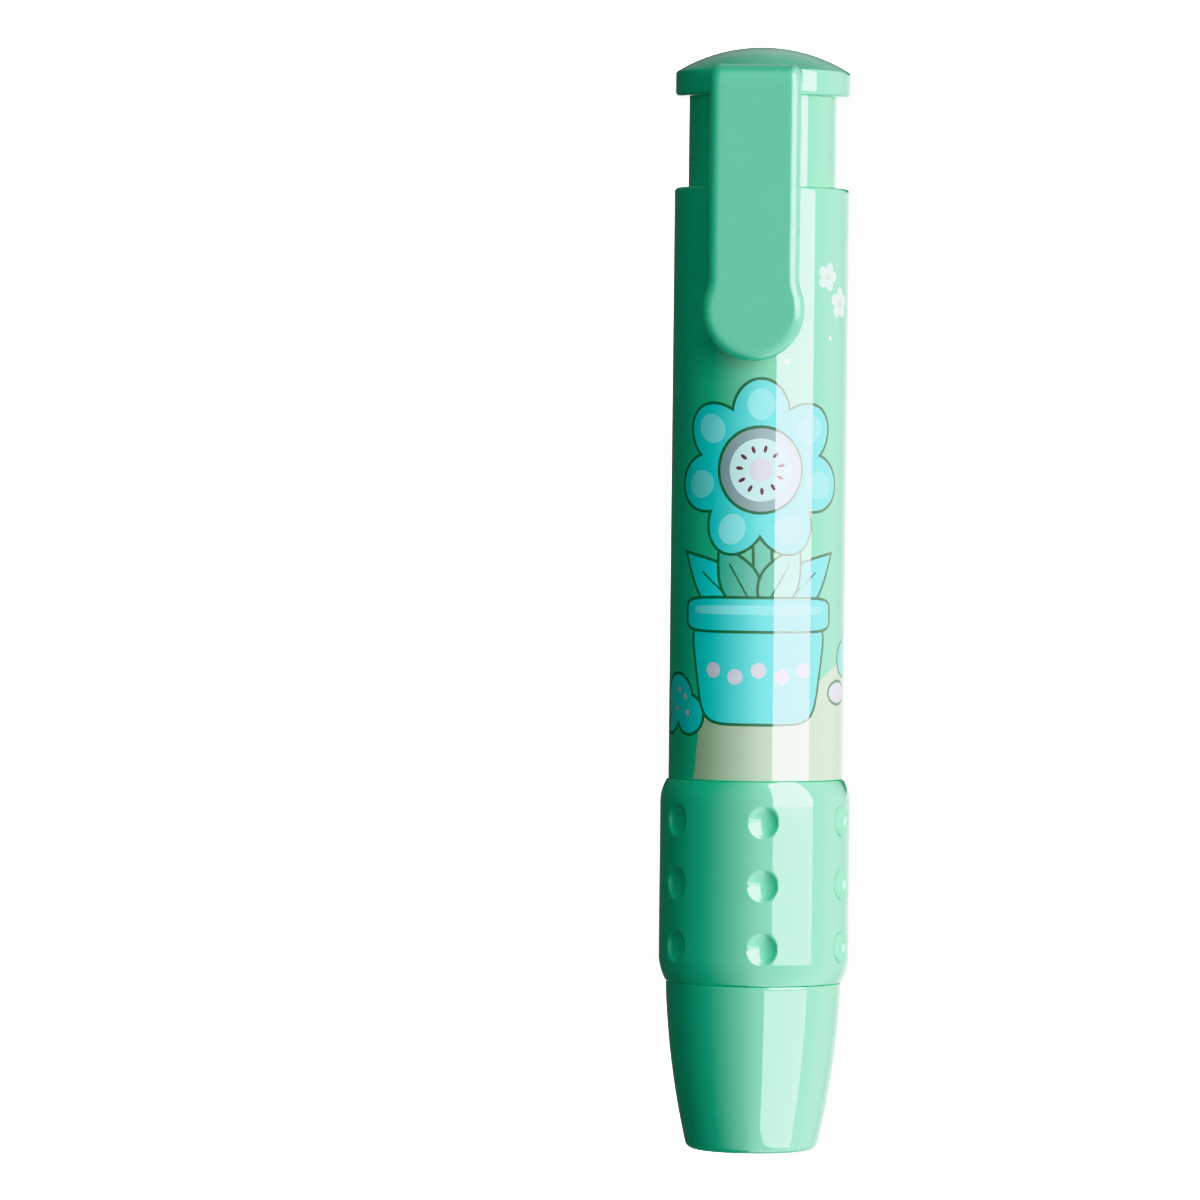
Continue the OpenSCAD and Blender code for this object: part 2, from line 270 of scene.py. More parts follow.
def steelMaterial():
    # drawn wire and turned ring: fine scratches along the way they were worked
    material, tree, shader = newMaterial("workedSteel")
    look = steelLook
    scratches = noise(tree, *look["scratches"])
    fill(tree, shader, {
        "Base Color": mixColour(tree, scratches, look["dark"], look["light"]),
        "Metallic": 1.0,
        "Roughness": mapRange(tree, scratches, *look["roughness"]),
    })
    addBump(tree, shader, scratches, look["depth"])
    return material


mintGloss = glossyPlastic("mintGloss", gloss["mint"])
mintBarrel = glossyPlastic("mintBarrel", gloss["mint"], parting=False)
mintSatin, naturalWhite = moulding("mintSatin"), moulding("naturalWhite")
vinyl = eraserMaterial()
elastomer = moulding("sealElastomer")
steel = steelMaterial()
inkMaterials = []
for ink, colour in inks.items():
    shine = gloss["darkInkShine" if ink in ("lineGreen", "plum") else "shine"]
    inkMaterials.append(glossyPlastic(f"ink{ink[0].upper()}{ink[1:]}", colour, False, shine))
print("materials:", len(bpy.data.materials))


# Turned shapes

def arc(centre, radius, fromAngle, toAngle, steps=12):
    # points of an arc in the plane of the profile, as distance from the axis and height
    angles = [radians(fromAngle + (toAngle - fromAngle) * i / steps) for i in range(steps + 1)]
    return [(centre[0] + radius * cos(a), centre[1] + radius * sin(a)) for a in angles]


def climb(radius, low, high, steps):
    # points up a straight wall, close enough together to be shaped later
    return [(radius, low + (high - low) * i / steps) for i in range(steps + 1)]


def angleOf(centre, point):
    return degrees(atan2(point[1] - centre[1], point[0] - centre[0]))


def faceOutwards(mesh, weld=0.0):
    # turns every face outwards, and first joins the points that lie closer together than weld
    shell = bmesh.new()
    shell.from_mesh(mesh)
    if weld:
        bmesh.ops.remove_doubles(shell, verts=shell.verts, dist=weld)
    bmesh.ops.recalc_face_normals(shell, faces=shell.faces)
    shell.to_mesh(mesh)
    shell.free()


def finishMesh(obj, sharpAngle=32.0):
    # one closed, smooth-shaded shell with edges where it turns by more than sharpAngle
    mesh = obj.data
    faceOutwards(mesh, weld=1e-7)
    for polygon in mesh.polygons:
        polygon.use_smooth = True
    mesh.set_sharp_from_angle(angle=radians(sharpAngle))
    return obj


def addObject(name, data):
    obj = bpy.data.objects.new(name, data)
    bpy.context.scene.collection.objects.link(obj)
    return obj


def newPiece(name, points, faces, materials):
    mesh = bpy.data.meshes.new(name)
    mesh.from_pydata(points, [], faces)
    for material in materials:
        mesh.materials.append(material)
    return addObject(name, mesh)


def lathe(name, profile, material, segments=256):
    # turns a closed profile, given in millimetres from the axis and up it, into a closed shell
    points = []
    for i in range(segments):
        a = 2 * pi * i / segments
        points += [(r * mm * cos(a), r * mm * sin(a), z * mm) for r, z in profile]
    count = len(profile)
    faces = []
    for i in range(segments):
        here, there = i * count, (i + 1) % segments * count
        for j in range(count):
            k = (j + 1) % count
            corners = [here + j, there + j, there + k, here + k]
            onAxis = [profile[j][0] < 1e-6, profile[k][0] < 1e-6]
            if onAxis[0]:
                corners.remove(there + j)
            if onAxis[1]:
                corners.remove(there + k)
            if not all(onAxis):
                faces.append(corners)
    return newPiece(name, points, faces, [material])


def keepResult(obj, modifier):
    # keeps what a modifier makes of a piece as its plain mesh
    bpy.context.view_layer.update()
    evaluated = obj.evaluated_get(bpy.context.evaluated_depsgraph_get())
    result = bpy.data.meshes.new_from_object(evaluated)
    obj.modifiers.remove(modifier)
    old, obj.data = obj.data, result
    bpy.data.meshes.remove(old)
    obj.data.name = obj.name
    return obj


def ready(obj, body, slot, *nodes):
    # hands a finished piece over to its body
    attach(obj, body)
    if nodes:
        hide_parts(*nodes)
    print(f"{obj.name}: {len(obj.data.polygons)} faces on {body}")


# Geometry Nodes trees

def newTree(name, sizes):
    # a tree with one named input for each size, and one for the material
    tree = bpy.data.node_groups.new(name, "GeometryNodeTree")
    tree.interface.new_socket("Geometry", in_out="INPUT", socket_type="NodeSocketGeometry")
    for label, value in sizes.items():
        kind = "NodeSocketInt" if isinstance(value, int) else "NodeSocketFloat"
        tree.interface.new_socket(label, in_out="INPUT", socket_type=kind).default_value = value
    tree.interface.new_socket("Material", in_out="INPUT", socket_type="NodeSocketMaterial")
    tree.interface.new_socket("Geometry", in_out="OUTPUT", socket_type="NodeSocketGeometry")
    return tree, addNode(tree, "NodeGroupInput").outputs


def endTree(tree, shape, material=None):
    # realizes what was instanced and, where one is given, sets the material
    shape = addNode(tree, "GeometryNodeRealizeInstances", {0: shape}).outputs[0]
    if material is not None:
        inputs = {"Geometry": shape, "Material": material}
        shape = addNode(tree, "GeometryNodeSetMaterial", inputs).outputs[0]
    addNode(tree, "NodeGroupOutput", {0: shape})


def placeAt(tree, x, y, z):
    return addNode(tree, "ShaderNodeCombineXYZ", {0: x, 1: y, 2: z}).outputs[0]


def onCircle(tree, radius, angle, height):
    # the place at an angle round the long axis and at a height
    x, y = (addMath(tree, "MULTIPLY", radius, addMath(tree, way, angle)) for way in ("COSINE", "SINE"))
    return placeAt(tree, x, y, height)


def moved(tree, shape, place):
    return addNode(tree, "GeometryNodeSetPosition", {"Geometry": shape, "Position": place}).outputs[0]


def runTree(obj, tree, sizes, material):
    # runs a tree on a piece and keeps the result
    modifier = obj.modifiers.new(tree.name, "NODES")
    modifier.node_group = tree
    for item in tree.interface.items_tree:
        if item.in_out == "INPUT" and item.name in sizes:
            modifier[item.identifier] = sizes[item.name]
        elif item.in_out == "INPUT" and item.name == "Material":
            modifier[item.identifier] = material
    return keepResult(obj, modifier)


# Nose cone: the tapered front shell, with the mouth at its tip

nose = {
    "curveRadius": 90.0,
    "curveHeight": 21.3,
    "gripEnd": 18.35,
    "gripEndRadius": 9.6,
    "mouthRadius": 5.45,
    "mouthRound": 1.0,
    "mouthChamfer": 0.12,
    "mouthLength": 5.2,
    "sealPocketRadius": 6.4,
    "jawChamber": (7.35, 8.5),  # radius, and height of its lower end
    "ringChamber": (7.77, 17.7),
    "spigotRadius": 9.07,
    "seamRound": 0.16,
}


def buildNose():
    n = nose
    top = span("nose_cone")[1].z
    lift = n["curveHeight"] - n["gripEnd"]
    centre = (n["gripEndRadius"] - sqrt(n["curveRadius"] ** 2 - lift ** 2), n["curveHeight"])
    roundZ = n["mouthRound"]
    roundR = centre[0] + sqrt((n["curveRadius"] - roundZ) ** 2 - (n["curveHeight"] - roundZ) ** 2)
    turnOut = angleOf(centre, (roundR, roundZ))
    seam, chamfer = n["seamRound"], n["mouthChamfer"]
    turnUp = angleOf(centre, (n["gripEndRadius"], n["gripEnd"] - seam))
    profile = [(n["mouthRadius"] + chamfer, 0.0)]
    profile += arc((roundR, roundZ), roundZ, -90, turnOut, 14)
    profile += arc(centre, n["curveRadius"], turnOut, turnUp, 40)[1:]
    profile += arc((profile[-1][0] - seam, n["gripEnd"] - seam), seam, 0, 90, 6)[1:]
    profile += [(n["spigotRadius"], n["gripEnd"] + 0.001), (n["spigotRadius"], top)]
    profile += [(n["ringChamber"][0], top), n["ringChamber"]]
    profile += [(n["jawChamber"][0], n["ringChamber"][1]), n["jawChamber"]]
    profile += [(n["sealPocketRadius"], n["jawChamber"][1]), (n["sealPocketRadius"], n["mouthLength"])]
    profile += [(n["mouthRadius"], n["mouthLength"]), (n["mouthRadius"], chamfer)]
    return finishMesh(lathe("noseShell", profile, mintGloss))


ready(buildNose(), "shell", "mint_shell", "nose_cone")


# Grip sleeve: a thicker ring whose dimples a tree of nodes presses in

grip = {
    "boreRadius": 9.1,
    "footRadius": 9.65,
    "seamRound": 0.1,
    "footHeight": 2.55,
    "footCurve": 7.0,
    "shoulderCurve": 4.54,
    "columns": 6,
    "rows": 3,
    "pitch": 6.85,
    "firstRow": 4.1,
    "turn": 9.0,
    "ballRadius": 2.6,
    "depth": 0.7,
    "lip": 0.04,
    "gridRows": 118,
    "gridColumns": 480,
}


def dimpleTree(sizes):
    tree, given = newTree("pressDimples", sizes)
    sums = partial(addMath, tree)
    x, y, z = splitUp(tree, addNode(tree, "GeometryNodeInputPosition").outputs[0])
    radius = sums("SQRT", sums("MULTIPLY_ADD", x, x, sums("MULTIPLY", y, y)))
    # angle and height from the nearest dimple's centre
    halfStep = sums("DIVIDE", pi, given["Columns"])
    angle = sums("SUBTRACT", sums("ARCTAN2", y, x), given["Turn"])
    angle = sums("WRAP", angle, halfStep, sums("MULTIPLY", halfStep, -1.0))
    rise = sums("SUBTRACT", z, given["First Row"])
    row = sums("ROUND", sums("DIVIDE", rise, given["Pitch"]))
    row = sums("MAXIMUM", row, 0.0)
    row = sums("MINIMUM", row, sums("SUBTRACT", given["Rows"], 1.0))
    rise = sums("SUBTRACT", rise, sums("MULTIPLY", row, given["Pitch"]))
    # where a line out from the axis meets the ball
    along = sums("MULTIPLY", given["Ball Distance"], sums("COSINE", angle))
    aside = sums("MULTIPLY", given["Ball Distance"], sums("SINE", angle))
    left = sums("POWER", given["Ball Radius"], 2.0)
    left = sums("SUBTRACT", left, sums("MULTIPLY", rise, rise))
    left = sums("SUBTRACT", left, sums("MULTIPLY", aside, aside))
    ball = sums("SUBTRACT", along, sums("SQRT", sums("MAXIMUM", left, 0.0)))
    # clear of the ball the wall stays as it is, because the ball is taken to lie far outside it
    missed = sums("MAXIMUM", sums("MULTIPLY", left, -1.0), 0.0)
    ball = sums("MULTIPLY_ADD", missed, 400.0, ball)
    pressed = sums("SMOOTH_MIN", radius, ball, given["Lip"])
    scale = sums("DIVIDE", pressed, radius)
    pressedIn = placeAt(tree, sums("MULTIPLY", x, scale), sums("MULTIPLY", y, scale), z)
    endTree(tree, moved(tree, given["Geometry"], pressedIn), given["Material"])
    return tree


def buildGrip():
    g = grip
    low, high = span("grip_sleeve")
    outer = high.x
    foot, footTop = (g["footRadius"], low.z), (outer, low.z + g["footHeight"])
    chord = Vector(footTop) - Vector(foot)
    aside = Vector((-chord.y, chord.x)).normalized()
    centre = (Vector(foot) + Vector(footTop)) / 2
    centre += aside * sqrt(g["footCurve"] ** 2 - (chord.length / 2) ** 2)
    curve = g["shoulderCurve"]
    shoulderZ = high.z - sqrt(curve ** 2 - (curve - (outer - g["footRadius"])) ** 2)
    shoulder = (outer - curve, shoulderZ)
    seam = g["seamRound"]
    profile = [(foot[0] - 2 * seam, foot[1]), (foot[0] - 0.8 * seam, foot[1] + 0.25 * seam)]
    start = angleOf(centre, (foot[0], foot[1] + seam))
    profile += arc(centre, g["footCurve"], start, angleOf(centre, footTop), 16)
    profile += climb(outer, footTop[1], shoulderZ, g["gridRows"])[1:]
    profile += arc(shoulder, curve, 0, angleOf(shoulder, (g["footRadius"], high.z)), 18)[1:]
    profile += [(g["boreRadius"], high.z), (g["boreRadius"], low.z)]
    sleeve = lathe("gripSleeve", profile, mintGloss, g["gridColumns"])
    sizes = {
        "Columns": g["columns"],
        "Rows": g["rows"],
        "Pitch": g["pitch"] * mm,
        "First Row": (low.z + g["firstRow"]) * mm,
        "Turn": radians(g["turn"] - 90),
        "Ball Radius": g["ballRadius"] * mm,
        "Ball Distance": (outer + g["ballRadius"] - g["depth"]) * mm,
        "Lip": g["lip"] * mm,
    }
    return finishMesh(runTree(sleeve, dimpleTree(sizes), sizes, mintGloss), 40.0)


ready(buildGrip(), "shell", "mint_shell", "grip_sleeve")


# The barrel's picture: flat shapes in millimetres, across the wrapped sheet and up the holder

picture = {
    "lineWidth": 0.32,
    "ground": 47.4,
    "hills": ((13.0, 8.0, 6.2), (30.0, 7.0, 4.4), (-30.0, 7.0, 4.4)),
    "bareStretch": (-17.0, -7.4),
    "flower": (0.2, 74.1),
    "tulips": ((20.6, 17.0), (25.2, 11.5), (-21.0, 19.0), (-25.6, 12.0)),  # across, height
    "stones": ((11.0, 1.8, 1.1), (23.2, 2.0, 1.2), (-23.8, 1.8, 1.1), (27.8, 1.5, 0.9)),
    "clouds": ((19.6, 82.2, 3.2), (-19.4, 84.5, 2.7), (24.4, 89.0, 2.8), (-25.0, 78.6, 2.6)),
    "blossoms": ((8.2, 95.0), (10.6, 92.2), (17.4, 98.4), (-17.2, 95.6), (18.6, 90.2), (-20.6, 97.6),
                 (22.5, 97.4), (-25.5, 91.0), (27.6, 95.0), (-17.0, 76.4), (17.4, 76.4)),
    "seeds": 22,
}


def placed(shape, x, y, turn):
    # an outline drawn about the origin, turned and moved to its place
    c, s = cos(radians(turn)), sin(radians(turn))
    return [(x + u * c - v * s, y + u * s + v * c) for u, v in shape]


def disc(x, y, radius, steps=40):
    return oval(x, y, radius, radius, 0, steps)


def oval(x, y, across, along, turn=0, steps=40):
    angles = [2 * pi * i / steps for i in range(steps)]
    return placed([(across * cos(a), along * sin(a)) for a in angles], x, y, turn)


def leaf(x, y, length, width, turn, steps=18):
    # a pointed blade that starts at x, y and grows the way that turn says
    side = [(length * i / steps, width / 2 * sin(pi * (i / steps) ** 0.8))
            for i in range(steps + 1)]
    return placed(side + [(u, -v) for u, v in reversed(side[1:-1])], x, y, turn)


def stroke(start, bend, end, width, steps=14):
    # a bent line of even width with square ends
    left, right = [], []
    for i in range(steps + 1):
        t = i / steps
        x, y = ((1 - t) ** 2 * a + 2 * t * (1 - t) * b + t * t * c for a, b, c in zip(start, bend, end))
        dx, dy = unit(*(2 * (1 - t) * (b - a) + 2 * t * (c - b) for a, b, c in zip(start, bend, end)))
        left.append((x - dy * width / 2, y + dx * width / 2))
        right.append((x + dy * width / 2, y - dx * width / 2))
    return left + right[::-1]


def leftHanded(shape):
    # the outline in the order that keeps its inside on the left
    after = shape[1:] + shape[:1]
    area = sum(a[0] * b[1] - b[0] * a[1] for a, b in zip(shape, after))
    return shape if area > 0 else shape[::-1]


def grown(shape, width):
    # the same outline, moved outwards by the width of a pen line
    shape = leftHanded(shape)
    count = len(shape)
    moved = []
    for i in range(count):
        before, here, after = shape[i - 1], shape[i], shape[(i + 1) % count]
        ax, ay = unit(here[0] - before[0], here[1] - before[1])
        bx, by = unit(after[0] - here[0], after[1] - here[1])
        nx, ny = unit(ay + by, -(ax + bx))
        stretch = 1 / max(0.35, sqrt(max(0.0, (1 + ax * bx + ay * by) / 2)))
        moved.append((here[0] + nx * width * stretch, here[1] + ny * width * stretch))
    return moved


def outlined(shapes, ink, line="lineGreen"):
    # a fill with one line round all its shapes together
    width = picture["lineWidth"]
    return [(line, grown(shape, width)) for shape in shapes] + [(ink, shape) for shape in shapes]


def petals(x, y, count, reach, across, along, turn=90):
    shapes = []
    for i in range(count):
        a = turn + 360 * i / count
        cx, cy = x + reach * cos(radians(a)), y + reach * sin(radians(a))
        shapes.append(oval(cx, cy, along, across, a))
    return shapes


def softBox(x, y, across, up, taper=0.0, steps=64):
    # a box with generous round corners, wider at the top by the share that taper says
    def bulge(v):
        return copysign(abs(v) ** 0.34, v)
    angles = [2 * pi * i / steps for i in range(steps)]
    return [(x + across * (1 + taper * bulge(sin(a))) * bulge(cos(a)),
             y + up * bulge(sin(a))) for a in angles]


def veinedLeaf(x, y, length, width, turn, ink):
    root, tip = placed([(length * 0.14, 0.0), (length * 0.72, 0.0)], x, y, turn)
    middle = ((root[0] + tip[0]) / 2, (root[1] + tip[1]) / 2)
    vein = ("lineGreen", stroke(root, middle, tip, 0.2, 4))
    return outlined([leaf(x, y, length, width, turn)], ink) + [vein]


def flowerPot(x, groundY):
    # a round-cornered pot with a broad rim and a row of dots
    marks = outlined([softBox(x, groundY + 5.2, 7.2, 5.5, 0.13)], "turquoise")
    marks += [("lilac", disc(x + 2.55 * i, groundY + 5.4 - 0.7 * (i % 2), 0.85, 24)) for i in range(-2, 3)]
    marks += outlined([softBox(x, groundY + 11.4, 8.7, 1.7)], "turquoise")
    return marks + [("aqua", softBox(x, groundY + 11.9, 7.6, 0.5))]


def pottedFlower(x, y, groundY):
    # one broad flower that fills the front of the barrel, over a pot with four leaves
    rim = groundY + 12.4
    stalk = stroke((x, y - 6), (x + 0.7, (y + rim) / 2 - 3), (x - 0.1, rim - 1), 1.7)
    marks = outlined([stalk], "leafGreen")
    for side in (-1, 1):
        marks += veinedLeaf(x + side * 0.9, rim - 1.2, 10.4, 4.6, 90 - side * 50, "turquoise")
        marks += veinedLeaf(x + side * 0.5, rim - 0.4, 7.8, 4.0, 90 - side * 30, "leafGreen")
    marks += flowerPot(x, groundY)
    marks += outlined(petals(x, y, 7, 6.0, 3.0, 3.7), "turquoise")
    marks += [("aqua", shape) for shape in petals(x, y, 7, 7.1, 1.5, 1.7)]
    marks += outlined([disc(x, y, 4.5)], "slate")
    marks += [("frost", disc(x, y, 3.4)), ("lilac", disc(x, y, 1.3, 24))]
    for i in range(11):
        a = radians(12 + 360 / 11 * i)
        speck = oval(x + 2.3 * cos(a), y + 2.3 * sin(a), 0.2, 0.42, degrees(a) + 90, 14)
        marks.append(("plum", speck))
    return marks


def tulip(x, groundY, height):
    top = groundY + height
    stalk = stroke((x, top), (x - 0.6, groundY + height / 2), (x + 0.2, groundY - 1.2), 1.2)
    marks = outlined([stalk], "leafGreen")
    marks += outlined([leaf(x, groundY + 1.0, height * 0.72, 3.0, 62)], "leafGreen")
    marks += outlined([leaf(x, groundY + 0.4, height * 0.62, 2.8, 116)], "leafGreen")
    marks += outlined([leaf(x, top - 1.6, 7.2, 4.2, 68), leaf(x, top - 1.6, 7.2, 4.2, 112)], "turquoise")
    marks += outlined([leaf(x, top - 1.8, 6.6, 4.4, 90)], "aqua")
    return marks


def bush(x, groundY, size):
    # a round bush of overlapping balls with berries
    balls = ((-0.55, 0.5, 0.62), (0.6, 0.45, 0.58), (0, 0.95, 0.72))
    marks = outlined([disc(x + size * u, groundY + size * v, size * r) for u, v, r in balls], "turquoise")
    spots = ((-0.6, 0.62), (0.1, 1.2), (0.55, 0.5), (-0.05, 0.62), (0.42, 1.0))
    marks += [("lilac", disc(x + size * u, groundY + size * v, size * 0.1, 20)) for u, v in spots]
    return marks


def cloud(x, y, size):
    puffs = ((-1.05, 0.0, 0.6), (-0.35, 0.35, 0.78), (0.5, 0.25, 0.7), (1.1, -0.05, 0.52),
             (0.0, -0.15, 0.62))
    return [("white", disc(x + size * u, y + size * v, size * r)) for u, v, r in puffs]


def blossom(x, y, size, turn):
    marks = [("white", shape) for shape in petals(x, y, 5, size * 0.62, size * 0.4, size * 0.45, turn)]
    return marks + [("meadow", disc(x, y, size * 0.26, 20))]


def groundLine(x):
    return picture["ground"] + sum(rise * exp(-((x - middle) / spread) ** 2)
                                   for middle, spread, rise in picture["hills"])


def hill(start, end, low, leftEnd, rightEnd):
    # a stretch of meadow, which slopes down to the foot of the print where it ends
    steps = 60
    outline = [(start, low), (end, low)]
    for i in range(steps + 1):
        x = end + (start - end) * i / steps
        slope = min(1.0, (x - start) / 1.6 if leftEnd else 1.0, (end - x) / 1.6 if rightEnd else 1.0)
        outline.append((x, low + (groundLine(x) - low) * sqrt(max(0.0, 1 - (1 - slope) ** 2))))
    return ("meadow", outline[:2] + outline[3 if rightEnd else 2:-1 if leftEnd else None])


def drawPicture(width, low):
    left, right = picture["bareStretch"]
    marks = [hill(-width / 2, left, low, False, True), hill(right, width / 2, low, True, False)]
    marks += bush(-10.4, groundLine(-10.4) - 1.4, 3.5)
    marks += bush(14.6, groundLine(14.6) - 1.2, 3.0)
    for x, height in picture["tulips"]:
        marks += tulip(x, groundLine(x), height)
    marks += bush(-16.0, groundLine(-16.0) - 1.2, 2.8)
    x, y = picture["flower"]
    marks += pottedFlower(x, y, groundLine(x) - 0.8)
    for x, across, along in picture["stones"]:
        marks += outlined([oval(x, groundLine(x) - 3.2, across, along)], "lilac")
    for x, y, size in picture["clouds"]:
        marks += cloud(x, y, size)
    for i, (x, y) in enumerate(picture["blossoms"]):
        marks += blossom(x, y, 1.45 + 0.2 * (i % 3), 17 * i)
    for i in range(picture["seeds"]):
        # small round seeds in the air, on a slow spiral, clear of the flower and of the barrel's sides
        x = -width / 2 + 1.5 + (i * 22.1) % (width - 3)
        y = 68 + (i * 12.7) % 33
        if abs(x) > 15.5 or abs(x) < 11.5 and y > 85.5:
            marks.append((("white", "aqua")[i % 2], disc(x, y, 0.26 + 0.07 * (i % 3), 16)))
    return marks


# Barrel: the printed outer wall is cut along the picture's outlines, then rolled up

barrel = {
    "columns": 180,
    "boreRadius": 8.6,
    "neckRadius": 8.1,
    "neckLength": 6.7,
    "topRound": 0.5,
    "neckRound": 0.25,
    "footRound": 0.15,
    "keyWidth": 2.0,
    "keyInner": 7.65,
    "keyBevel": 0.12,
}


def rollTree(sizes):
    tree, given = newTree("rollSheet", sizes)
    x, _, z = splitUp(tree, addNode(tree, "GeometryNodeInputPosition").outputs[0])
    angle = addMath(tree, "ADD", addMath(tree, "DIVIDE", x, given["Radius"]), given["Turn"])
    rolled = onCircle(tree, given["Radius"], angle, z)
    endTree(tree, moved(tree, given["Geometry"], rolled))
    return tree


def printedSheet(width, low, high, materials):
    # one flat sheet cut along every outline, each face painted with the last mark drawn over it
    columns = barrel["columns"]
    xs = [-width / 2 + width * i / columns for i in range(columns + 1)]
    points, edges, outlines, inkOf = [], [], [], []
    for x in xs:
        points += [Vector((x, low)), Vector((x, high))]
    for i in range(columns + 1):
        edges.append((2 * i, 2 * i + 1))
        if i < columns:
            edges += [(2 * i, 2 * i + 2), (2 * i + 1, 2 * i + 3)]
    for ink, shape in drawPicture(width, low):
        outlines.append(list(range(len(points), len(points) + len(shape))))
        points += [Vector(p) for p in leftHanded(shape)]
        inkOf.append(ink)
    cut = geometry.delaunay_2d_cdt(points, edges, outlines, 0, 1e-5)
    names = ["base"] + list(inks)
    sheet = newPiece("barrelShell", [(p.x * mm, 0.0, p.y * mm) for p in cut[0]], cut[2], materials)
    for polygon, marks in zip(sheet.data.polygons, cut[5]):
        polygon.material_index = names.index(inkOf[max(marks)]) if marks else 0
    return sheet


def buildBarrel():
    b = barrel
    low, high = span("barrel")
    radius = high.x
    wallLow, wallHigh = low.z + b["footRound"], high.z - b["topRound"]
    materials = [mintBarrel] + inkMaterials
    sheet = printedSheet(2 * pi * radius, wallLow, wallHigh, materials)
    facing = radians(-90 + cameraSpot["turn"])
    sizes = {"Radius": radius * mm, "Turn": facing}
    runTree(sheet, rollTree(sizes), sizes, mintBarrel)
    profile = arc((radius - b["topRound"], wallHigh), b["topRound"], 0, 90, 8)
    profile += arc((b["neckRadius"] + b["neckRound"], high.z - b["neckRound"]), b["neckRound"], 90, 180, 5)
    profile += [(b["neckRadius"], high.z - b["neckLength"]), (b["boreRadius"], high.z - b["neckLength"]),
                (b["boreRadius"], low.z)]
    profile += arc((radius - b["footRound"], wallLow), b["footRound"], -90, 0, 4)
    rest = lathe("barrelRest", profile, mintBarrel, b["columns"])
    # the plain outer wall goes, and the printed one takes its place
    whole = bmesh.new()
    whole.from_mesh(rest.data)
    outer = [face for face in whole.faces
             if all(abs(v.co.xy.length / mm - radius) < 1e-4 for v in face.verts)]
    bmesh.ops.delete(whole, geom=outer, context="FACES")
    turn = Matrix.Rotation(facing - pi, 3, "Z")
    bmesh.ops.rotate(whole, verts=whole.verts, cent=(0, 0, 0), matrix=turn)
    whole.from_mesh(sheet.data)
    whole.to_mesh(sheet.data)
    whole.free()
    bpy.data.objects.remove(rest)
    finishMesh(sheet, 50.0)
    smoothWall(sheet, radius * mm)
    return sheet


def smoothWall(obj, radius):
    # true round normals for every corner on the outer wall, so the cuts of the picture don't shade
    mesh = obj.data
    normals = [corner.vector.copy() for corner in mesh.corner_normals]
    for polygon in mesh.polygons:
        if abs(polygon.normal.z) < 0.02 and polygon.center.xy.length > radius * 0.99:
            for i in polygon.loop_indices:
                place = mesh.vertices[mesh.loops[i].vertex_index].co
                normals[i] = Vector((place.x, place.y, 0)).normalized()
    mesh.normals_split_custom_set(normals)


# Camera: where the photograph was taken from. Its turn also faces the picture

cameraSpot = {
    "turn": 3.7,
    "distance": 830.0,
    "height": 78.2,
    "aimHeight": 59.7,
    "frameWidth": 130.7,
    "penOffset": 17.14,
    "roll": 0.63,
}


def buildCamera():
    c = cameraSpot
    data = bpy.data.cameras.new("photoCamera")
    camera = addObject("photoCamera", data)
    bpy.context.scene.camera = camera
    data.sensor_width = 36.0
    data.lens = data.sensor_width * c["distance"] / c["frameWidth"]
    data.clip_start, data.clip_end = 0.05, 20.0
    heading = radians(c["turn"] + degrees(atan(c["penOffset"] / c["distance"])))
    right = Vector((cos(heading), sin(heading), 0))
    back = Vector((sin(heading), -cos(heading), 0))
    aim = Vector((0, 0, c["aimHeight"])) - right * c["penOffset"]
    place = aim + back * c["distance"]
    place.z = c["height"]
    camera.location = place * mm
    camera.rotation_mode = "QUATERNION"
    look = (aim - place).to_track_quat("-Z", "Y")
    camera.rotation_quaternion = look @ Quaternion((0, 0, 1), radians(c["roll"]))


buildCamera()
ready(buildBarrel(), "shell", "mint_shell", "barrel")


# Stem: the tube under the cap, with a keyway behind the clip

stem = {
    "boreRadius": 6.85,
    "wall": 1.2,
    "catchTop": 97.9,
    "catchBottom": 95.3,
    "keyway": (2.2, 7.5, 97.9, 113.2),  # width, distance from the axis, lowest and highest height
}


def cutWith(obj, cutter):
    modifier = obj.modifiers.new("cut", "BOOLEAN")
    modifier.object = cutter
    modifier.solver = "EXACT"
    keepResult(obj, modifier)
    bpy.data.objects.remove(cutter)
    return obj


def block(name, low, high, material, bevel=0.0):
    # a block between two corners in millimetres
    points = [(x * mm, y * mm, z * mm)
              for x in (low[0], high[0]) for y in (low[1], high[1]) for z in (low[2], high[2])]
    faces = [(0, 1, 3, 2), (4, 6, 7, 5), (0, 4, 5, 1), (2, 3, 7, 6), (0, 2, 6, 4), (1, 5, 7, 3)]
    obj = newPiece(name, points, faces, [material])
    if bevel:
        softer = bmesh.new()
        softer.from_mesh(obj.data)
        bmesh.ops.bevel(softer, geom=softer.edges[:], offset=bevel * mm, segments=3, affect="EDGES")
        softer.to_mesh(obj.data)
        softer.free()
    return obj


def buildStem():
    low, high = span("knock_tube")
    catch = high.x
    radius = stem["boreRadius"] + stem["wall"]
    profile = [(stem["boreRadius"], low.z), (radius, low.z), (radius, stem["catchBottom"]),
               (catch, stem["catchBottom"] + 0.1), (catch, stem["catchTop"]), (radius, stem["catchTop"]),
               (radius, high.z), (stem["boreRadius"], high.z)]
    tube = finishMesh(lathe("stemTube", profile, mintGloss))
    width, inner, bottom, top = stem["keyway"]
    cutter = block("keywayCutter", (-width / 2, -radius - 2, bottom), (width / 2, -inner, top), mintGloss)
    return finishMesh(cutWith(tube, finishMesh(cutter)), 30.0)


ready(buildStem(), "knock", "mint_shell", "knock_tube")


